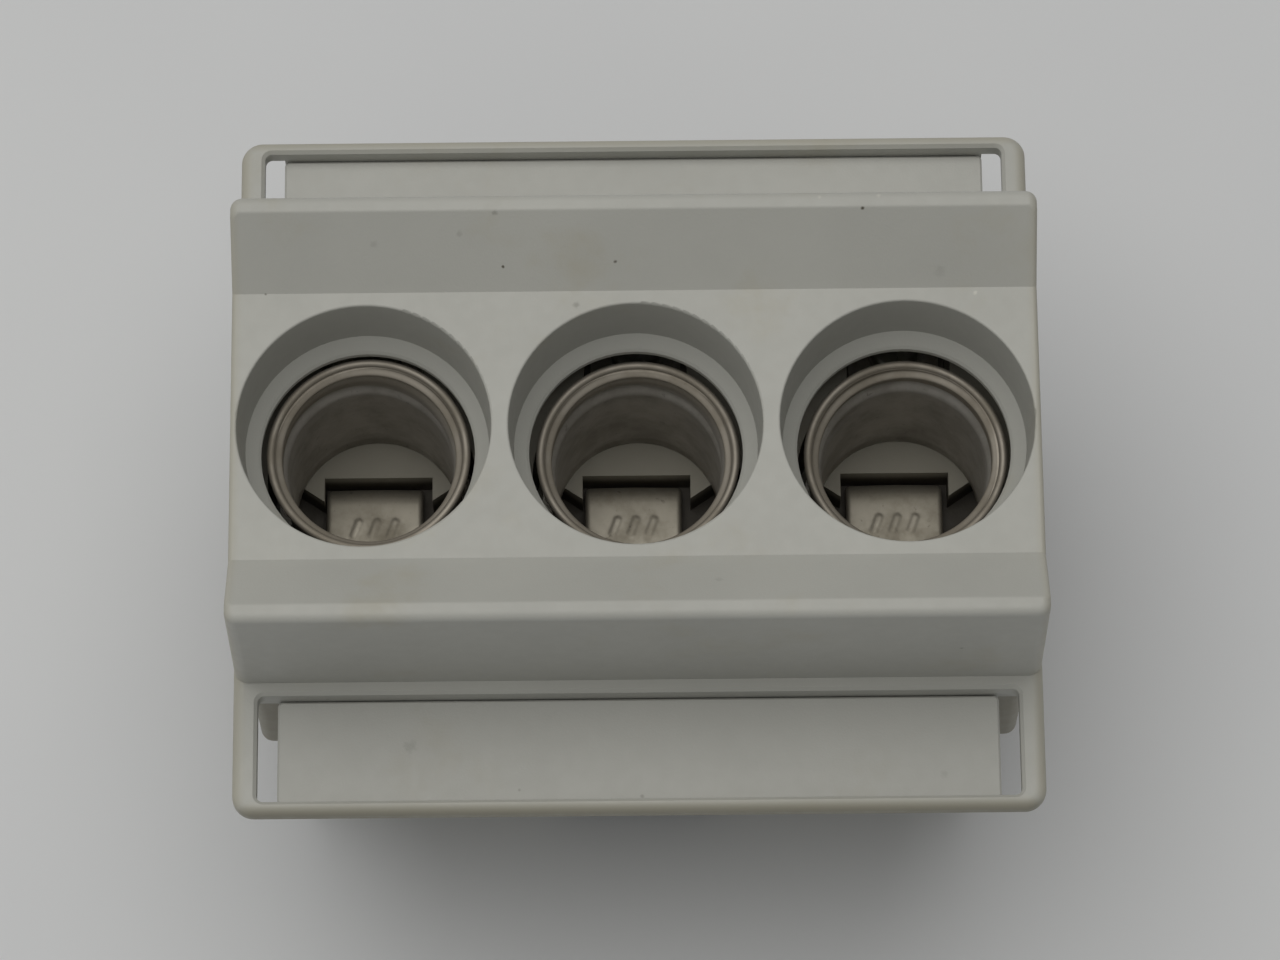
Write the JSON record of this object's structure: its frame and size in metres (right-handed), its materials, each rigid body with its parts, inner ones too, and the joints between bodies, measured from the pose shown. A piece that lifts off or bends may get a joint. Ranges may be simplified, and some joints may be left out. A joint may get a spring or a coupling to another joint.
{
  "type": "cartridge fuse holder",
  "caption": "Three-pole screw-in cartridge fuse base for a 35 mm rail, with a lift-off hood, threaded shells, cage terminals and a sliding rail latch.",
  "frame": {"origin": "middle of the face that rests on the mounting rail, on the middle pole's axis", "axes": "+Z out of the panel along the fuse axes, +X along the rail across the poles, +Y towards the load side"},
  "size_m": [0.0812, 0.0724, 0.0679],
  "materials": {
    "cover_plastic": "fine moulded, light grey",
    "strip_plastic": "fine moulded, light grey",
    "base_plastic": "moulded, warm light grey",
    "latch_plastic": "moulded, dark grey",
    "spring_steel": "bright wire",
    "zinc_steel": "zinc plated",
    "cage_steel": "zinc plated, passivated",
    "shell_metal": "nickel plated brass, dulled",
    "strap_metal": "tin plated",
    "contact_metal": "nickel plated, dulled"
  },
  "bodies": {
    "base": {"base_body": "base_plastic", "rail_foot": "base_plastic", "rail_foot_screws": "zinc_steel", "shell_strap_screws": "zinc_steel", "foot_contact_screws": "zinc_steel", "rail_latch_spring": "spring_steel", "screw_shell_1": "shell_metal", "shell_strap_1": "strap_metal", "foot_contact_1": "contact_metal", "screw_shell_2": "shell_metal", "shell_strap_2": "strap_metal", "foot_contact_2": "contact_metal", "screw_shell_3": "shell_metal", "shell_strap_3": "strap_metal", "foot_contact_3": "contact_metal"},
    "cover": {"cover": "cover_plastic"},
    "line_strip": {"line_terminal_strip": "strip_plastic"},
    "load_strip": {"load_terminal_strip": "strip_plastic"},
    "latch": {"rail_latch": "latch_plastic"},
    "line_screw_1": {"line_terminal_screw_1": "zinc_steel"},
    "line_cage_1": {"line_clamp_cage_1": "cage_steel"},
    "line_screw_2": {"line_terminal_screw_2": "zinc_steel"},
    "line_cage_2": {"line_clamp_cage_2": "cage_steel"},
    "line_screw_3": {"line_terminal_screw_3": "zinc_steel"},
    "line_cage_3": {"line_clamp_cage_3": "cage_steel"},
    "load_screw_1": {"load_terminal_screw_1": "zinc_steel"},
    "load_cage_1": {"load_clamp_cage_1": "cage_steel"},
    "load_screw_2": {"load_terminal_screw_2": "zinc_steel"},
    "load_cage_2": {"load_clamp_cage_2": "cage_steel"},
    "load_screw_3": {"load_terminal_screw_3": "zinc_steel"},
    "load_cage_3": {"load_clamp_cage_3": "cage_steel"}
  },
  "joints": [
    {"name": "cover_lift", "type": "slide", "parent": "base", "child": "cover", "axis": [0, 0, 1], "range_m": [0, 0.03]},
    {"name": "line_strip_lift", "type": "slide", "parent": "cover", "child": "line_strip", "axis": [0, 0, 1], "range_m": [0, 0.012]},
    {"name": "load_strip_lift", "type": "slide", "parent": "cover", "child": "load_strip", "axis": [0, 0, 1], "range_m": [0, 0.012]},
    {"name": "latch_slide", "type": "slide", "parent": "base", "child": "latch", "axis": [0, -1, 0], "range_m": [0, 0.0036], "stiffness_N_per_m": 2500, "springref_m": -0.0012, "deforming": ["rail_latch_spring"]},
    {"name": "line_screw_1_turn", "type": "hinge", "parent": "base", "child": "line_screw_1", "pos_m": [-0.027, -0.0264, 0.035], "axis": [0, 0, -1], "range_deg": [0, 1980]},
    {"name": "line_cage_1_rise", "type": "slide", "parent": "base", "child": "line_cage_1", "axis": [0, 0, 1], "range_m": [0, 0.0044]},
    {"name": "line_screw_2_turn", "type": "hinge", "parent": "base", "child": "line_screw_2", "pos_m": [0, -0.0264, 0.035], "axis": [0, 0, -1], "range_deg": [0, 1980]},
    {"name": "line_cage_2_rise", "type": "slide", "parent": "base", "child": "line_cage_2", "axis": [0, 0, 1], "range_m": [0, 0.0044]},
    {"name": "line_screw_3_turn", "type": "hinge", "parent": "base", "child": "line_screw_3", "pos_m": [0.027, -0.0264, 0.035], "axis": [0, 0, -1], "range_deg": [0, 1980]},
    {"name": "line_cage_3_rise", "type": "slide", "parent": "base", "child": "line_cage_3", "axis": [0, 0, 1], "range_m": [0, 0.0044]},
    {"name": "load_screw_1_turn", "type": "hinge", "parent": "base", "child": "load_screw_1", "pos_m": [-0.027, 0.0264, 0.035], "axis": [0, 0, -1], "range_deg": [0, 1980]},
    {"name": "load_cage_1_rise", "type": "slide", "parent": "base", "child": "load_cage_1", "axis": [0, 0, 1], "range_m": [0, 0.0044]},
    {"name": "load_screw_2_turn", "type": "hinge", "parent": "base", "child": "load_screw_2", "pos_m": [0, 0.0264, 0.035], "axis": [0, 0, -1], "range_deg": [0, 1980]},
    {"name": "load_cage_2_rise", "type": "slide", "parent": "base", "child": "load_cage_2", "axis": [0, 0, 1], "range_m": [0, 0.0044]},
    {"name": "load_screw_3_turn", "type": "hinge", "parent": "base", "child": "load_screw_3", "pos_m": [0.027, 0.0264, 0.035], "axis": [0, 0, -1], "range_deg": [0, 1980]},
    {"name": "load_cage_3_rise", "type": "slide", "parent": "base", "child": "load_cage_3", "axis": [0, 0, 1], "range_m": [0, 0.0044]}
  ],
  "couplings": [
    {"joint": "line_screw_1_turn", "follows": "line_cage_1_rise", "rad_per_m": 7854},
    {"joint": "line_screw_2_turn", "follows": "line_cage_2_rise", "rad_per_m": 7854},
    {"joint": "line_screw_3_turn", "follows": "line_cage_3_rise", "rad_per_m": 7854},
    {"joint": "load_screw_1_turn", "follows": "load_cage_1_rise", "rad_per_m": 7854},
    {"joint": "load_screw_2_turn", "follows": "load_cage_2_rise", "rad_per_m": 7854},
    {"joint": "load_screw_3_turn", "follows": "load_cage_3_rise", "rad_per_m": 7854}
  ]
}
